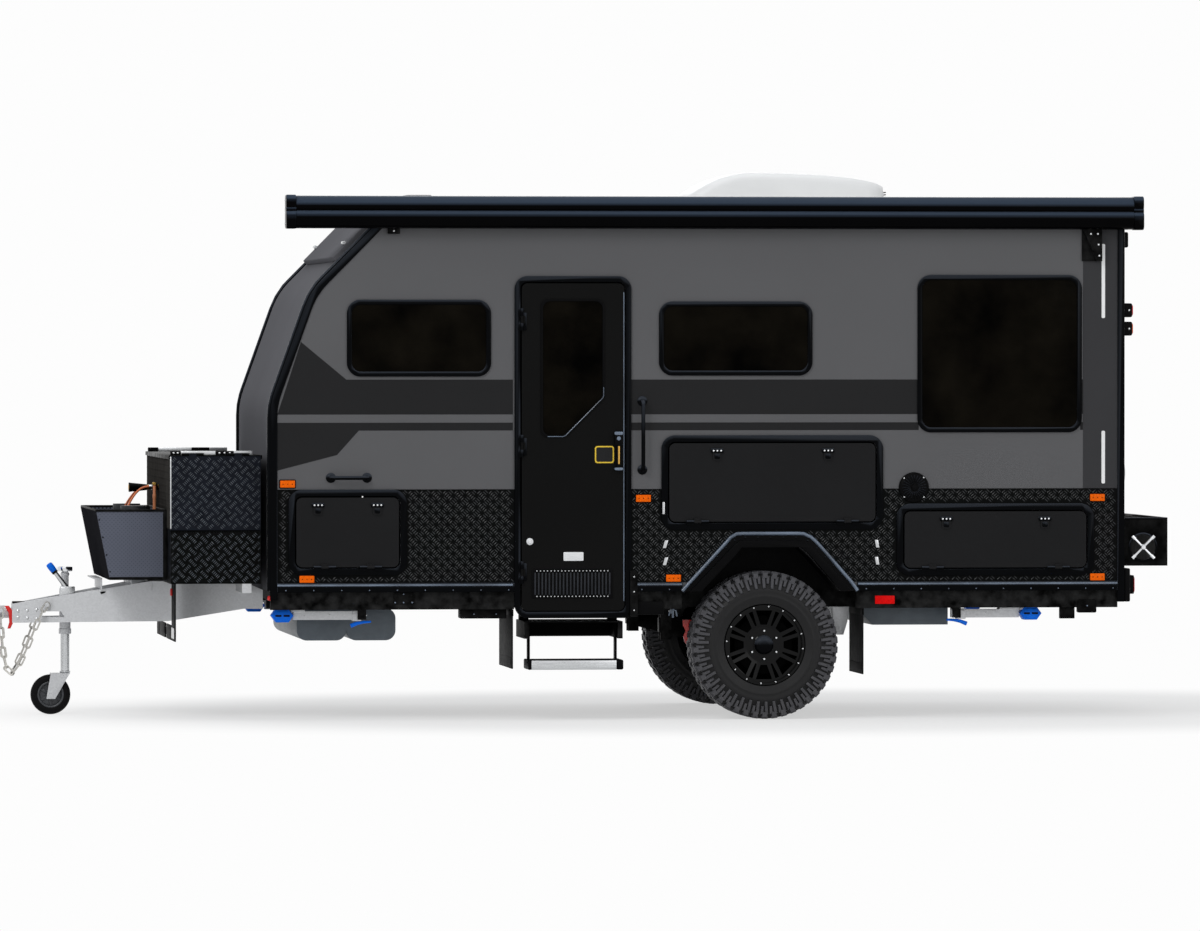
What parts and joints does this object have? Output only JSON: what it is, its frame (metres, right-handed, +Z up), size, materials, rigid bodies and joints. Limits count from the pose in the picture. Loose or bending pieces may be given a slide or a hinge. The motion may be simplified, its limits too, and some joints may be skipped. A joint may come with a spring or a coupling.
{
  "type": "off-road travel trailer",
  "caption": "Single-axle off-road travel trailer with sloped nose, entry door, side hatches, awning, front tool box and basket, galvanised drawbar and jockey wheel.",
  "frame": {"origin": "on the ground at mid-length, on the centre plane", "axes": "+X to the rear, -X towards the coupling, -Y is the side with the entry door, +Z up"},
  "size_m": [6.36, 2.386, 2.966],
  "materials": {
    "grey_panel": "mid-grey gloss composite skin",
    "white_panel": "white composite roof skin",
    "floor_board": "dark coated floor board",
    "gloss_black_moulding": "gloss black extrusion",
    "black_tread_plate": "black coated tread plate",
    "black_moulding": "satin black moulding",
    "tinted_acrylic": "dark tinted acrylic",
    "door_skin": "black door skin",
    "hatch_skin": "charcoal hatch skin",
    "black_coat": "black powder coat",
    "galvanised_steel": "hot-dip galvanised",
    "zinc_chain": "zinc plated",
    "black_rubber": "black rubber",
    "tyre_rubber": "tyre rubber",
    "black_alloy": "gloss black alloy",
    "red_coat": "red powder coat",
    "perforated_sheet": "slate grey perforated sheet",
    "bottle_paint": "light grey enamel",
    "white_abs": "white plastic",
    "grey_polyethylene": "dark grey polyethylene",
    "brushed_aluminium": "brushed",
    "red_lens": "red lens",
    "amber_lens": "amber lens",
    "orange_rubber": "orange gas hose"
  },
  "bodies": {
    "trailer": {"arch_flares": "black_moulding", "awning": "gloss_black_moulding", "body_mouldings": "gloss_black_moulding", "chassis_rails": "black_coat", "coupling": "galvanised_steel", "cross_members": "black_coat", "door_and_hatch_frames": "gloss_black_moulding", "drawbar": "galvanised_steel", "floor_panel": "floor_board", "front_basket": "perforated_sheet", "front_box": "black_tread_plate", "gas_bottles": "bottle_paint", "gas_hose_left": "orange_rubber", "gas_hose_right": "orange_rubber", "handbrake_lever": "galvanised_steel", "jockey_sleeve": "black_coat", "left_wall": "grey_panel", "marker_lamps": "amber_lens", "mud_flaps": "black_rubber", "nose_panel": "grey_panel", "rear_bumper": "black_coat", "rear_carrier": "black_coat", "rear_lamps": "red_lens", "rear_wall": "grey_panel", "right_wall": "grey_panel", "roof_air_conditioner": "white_abs", "roof_hatches": "black_moulding", "roof_panel": "white_panel", "safety_chains": "zinc_chain", "stabiliser_brackets": "black_coat", "step_housing": "black_coat", "suspension": "red_coat", "suspension_hangers": "black_coat", "tread_plate_skirts": "black_tread_plate", "wall_fittings": "black_coat", "water_tanks": "grey_polyethylene", "wheel_boxes": "black_moulding", "window_frames": "gloss_black_moulding", "window_panes": "tinted_acrylic"},
    "entry_door": {"entry_door": "door_skin", "door_fittings": "black_moulding", "door_window": "tinted_acrylic"},
    "table_hatch": {"table_hatch": "hatch_skin"},
    "boot_hatch": {"boot_hatch": "hatch_skin"},
    "boot_hatch_far": {"boot_hatch_far": "hatch_skin"},
    "locker_hatch": {"locker_hatch": "hatch_skin"},
    "box_door_left": {"box_door_left": "black_tread_plate"},
    "box_door_right": {"box_door_right": "black_tread_plate"},
    "left_wheel": {"left_tyre": "tyre_rubber", "left_rim": "black_alloy"},
    "right_wheel": {"right_tyre": "tyre_rubber", "right_rim": "black_alloy"},
    "jockey_leg": {"jockey_stem": "galvanised_steel"},
    "jockey_caster": {"jockey_fork": "galvanised_steel"},
    "jockey_roller": {"jockey_wheel": "black_rubber"},
    "entry_step": {"entry_step": "brushed_aluminium"},
    "stabiliser_front_left": {"stabiliser_front_left": "galvanised_steel"},
    "stabiliser_front_right": {"stabiliser_front_right": "galvanised_steel"},
    "stabiliser_rear_left": {"stabiliser_rear_left": "galvanised_steel"},
    "stabiliser_rear_right": {"stabiliser_rear_right": "galvanised_steel"}
  },
  "joints": [
    {"name": "entry_door_hinge", "type": "hinge", "parent": "trailer", "child": "entry_door", "pos_m": [-0.349, -1.122, 0.551], "axis": [0, 0, -1], "range_deg": [0, 160]},
    {"name": "table_hatch_hinge", "type": "hinge", "parent": "trailer", "child": "table_hatch", "pos_m": [0.407, -1.122, 1.066], "axis": [1, 0, 0], "range_deg": [0, 90]},
    {"name": "boot_hatch_hinge", "type": "hinge", "parent": "trailer", "child": "boot_hatch", "pos_m": [-1.606, -1.122, 0.826], "axis": [1, 0, 0], "range_deg": [0, 90]},
    {"name": "locker_hatch_hinge", "type": "hinge", "parent": "trailer", "child": "locker_hatch", "pos_m": [1.687, -1.122, 0.815], "axis": [1, 0, 0], "range_deg": [0, 90]},
    {"name": "boot_hatch_far_hinge", "type": "hinge", "parent": "trailer", "child": "boot_hatch_far", "pos_m": [-1.606, 1.122, 0.826], "axis": [-1, 0, 0], "range_deg": [0, 90]},
    {"name": "box_door_left_hinge", "type": "hinge", "parent": "trailer", "child": "box_door_left", "pos_m": [-2.227, -0.944, 1.429], "axis": [-1, 0, 0], "range_deg": [0, 100]},
    {"name": "box_door_right_hinge", "type": "hinge", "parent": "trailer", "child": "box_door_right", "pos_m": [-2.227, 0.944, 1.429], "axis": [1, 0, 0], "range_deg": [0, 100]},
    {"name": "left_wheel_spin", "type": "hinge", "parent": "trailer", "child": "left_wheel", "pos_m": [0.969, -0.9925, 0.4], "axis": [0, 1, 0], "continuous": true},
    {"name": "right_wheel_spin", "type": "hinge", "parent": "trailer", "child": "right_wheel", "pos_m": [0.969, 0.9925, 0.4], "axis": [0, 1, 0], "continuous": true},
    {"name": "jockey_slide", "type": "slide", "parent": "trailer", "child": "jockey_leg", "axis": [0, 0, 1], "range_m": [0, 0.2]},
    {"name": "jockey_swivel", "type": "hinge", "parent": "jockey_leg", "child": "jockey_caster", "pos_m": [-2.74, 0, 0.109], "axis": [0, 0, 1], "continuous": true},
    {"name": "jockey_wheel_spin", "type": "hinge", "parent": "jockey_caster", "child": "jockey_roller", "pos_m": [-2.82, 0, 0.109], "axis": [0, 1, 0], "continuous": true},
    {"name": "entry_step_slide", "type": "slide", "parent": "trailer", "child": "entry_step", "axis": [0, 1, 0], "range_m": [0, 0.16]},
    {"name": "stabiliser_front_left_hinge", "type": "hinge", "parent": "trailer", "child": "stabiliser_front_left", "pos_m": [-1.202, -0.972, 0.564], "axis": [0, -1, 0], "range_deg": [0, 80]},
    {"name": "stabiliser_rear_left_hinge", "type": "hinge", "parent": "trailer", "child": "stabiliser_rear_left", "pos_m": [2.03, -0.972, 0.564], "axis": [0, 1, 0], "range_deg": [0, 80]},
    {"name": "stabiliser_front_right_hinge", "type": "hinge", "parent": "trailer", "child": "stabiliser_front_right", "pos_m": [-1.202, 0.972, 0.564], "axis": [0, -1, 0], "range_deg": [0, 80]},
    {"name": "stabiliser_rear_right_hinge", "type": "hinge", "parent": "trailer", "child": "stabiliser_rear_right", "pos_m": [2.03, 0.972, 0.564], "axis": [0, 1, 0], "range_deg": [0, 80]}
  ]
}
